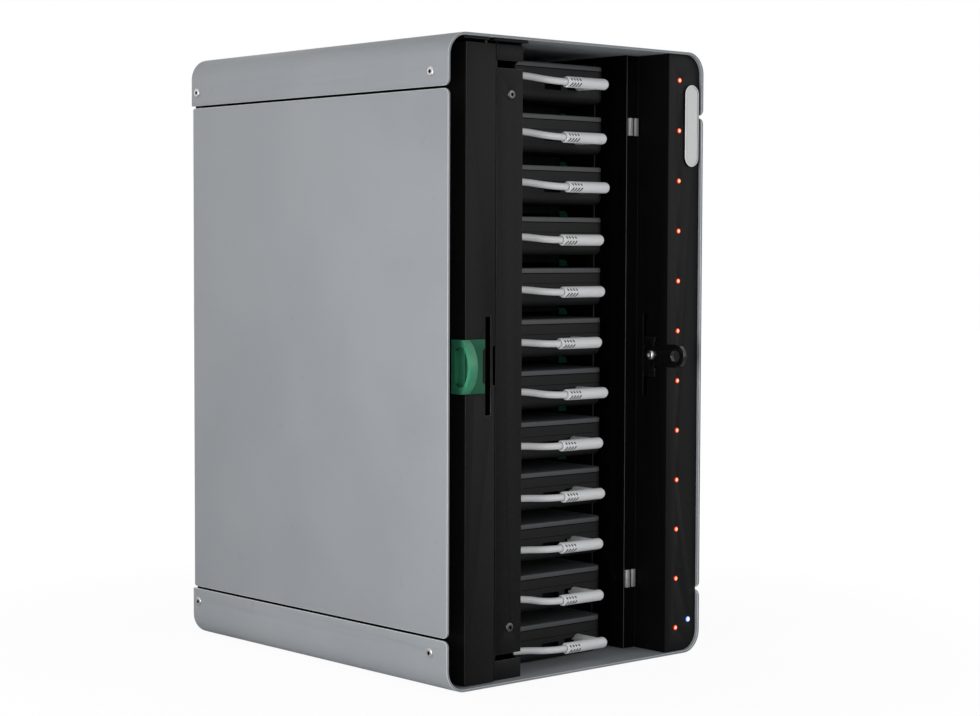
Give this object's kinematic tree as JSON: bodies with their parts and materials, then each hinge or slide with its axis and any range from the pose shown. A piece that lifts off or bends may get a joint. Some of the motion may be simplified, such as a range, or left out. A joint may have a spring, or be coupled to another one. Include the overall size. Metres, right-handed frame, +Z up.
{
  "type": "device charging station",
  "caption": "Tall metal charging locker with docked devices on shelves, plugged-in leads, status lights and a door that slides back into a side pocket.",
  "frame": {"origin": "centre of the bounding box's underside: on the floor, halfway across the width and halfway between the tip of the hasp and the rear edge", "axes": "+X to the right seen from the doorway, -Y out of the doorway, +Z up"},
  "size_m": [0.3378, 0.4326, 0.6],
  "materials": {
    "silver_coat": "satin powder coat, silver grey",
    "black_coat": "fine textured powder coat, black",
    "bright_steel": "bright zinc",
    "dark_steel": "blackened",
    "black_rubber": "matt",
    "red_lens": "lit lens",
    "white_lens": "lit lens",
    "circuit_board": "solder resist",
    "badge_silver": "satin, blank",
    "magnet_dark": "matt",
    "green_plastic": "moulded, matt",
    "white_lead": "soft white jacket",
    "black_plastic": "fine grained",
    "aluminium_case": "extruded"
  },
  "bodies": {
    "cabinet": {"top_cap": "silver_coat", "bottom_cap": "silver_coat", "left_side_panel": "silver_coat", "right_side_panel": "silver_coat", "shell_screws": "bright_steel", "back_panel": "black_coat", "pocket_wall": "black_coat", "cable_post": "black_coat", "cable_cover": "black_coat", "cover_screws": "dark_steel", "lead_grommets": "black_rubber", "right_inner_wall": "black_coat", "status_leds": "red_lens", "power_led": "white_lens", "led_board": "circuit_board", "badge_plate": "badge_silver", "hasp": "black_coat", "hasp_bolt": "bright_steel", "magnet_cores": "magnet_dark", "magnet_poles": "bright_steel", "wall_screws": "dark_steel", "door_track_top": "black_coat", "door_track_bottom": "black_coat", "racks": "black_coat", "shelves": "black_coat", "shelf_bumpers": "green_plastic", "lead_plugs": "white_lead", "power_inlet": "black_plastic", "power_supply": "aluminium_case", "charge_board": "circuit_board", "device_01": "black_plastic", "device_02": "black_plastic", "device_03": "black_plastic", "device_04": "black_plastic", "device_05": "black_plastic", "device_06": "black_plastic", "device_07": "black_plastic", "device_08": "black_plastic", "device_09": "black_plastic", "device_10": "black_plastic", "device_11": "black_plastic", "device_12": "black_plastic", "charge_lead_01": "white_lead", "charge_lead_02": "white_lead", "charge_lead_03": "white_lead", "charge_lead_04": "white_lead", "charge_lead_05": "white_lead", "charge_lead_06": "white_lead", "charge_lead_07": "white_lead", "charge_lead_08": "white_lead", "charge_lead_09": "white_lead", "charge_lead_10": "white_lead", "charge_lead_11": "white_lead", "charge_lead_12": "white_lead"},
    "door": {"door_panel": "black_coat", "door_handle": "green_plastic", "handle_screws": "dark_steel", "door_hinge_rod": "bright_steel", "rod_bushings": "black_rubber", "door_guide_pin": "bright_steel"}
  },
  "joints": [
    {"name": "door_slide", "type": "slide", "parent": "cabinet", "child": "door", "axis": [0, -1, 0], "range_m": [0, 0.2013]}
  ]
}
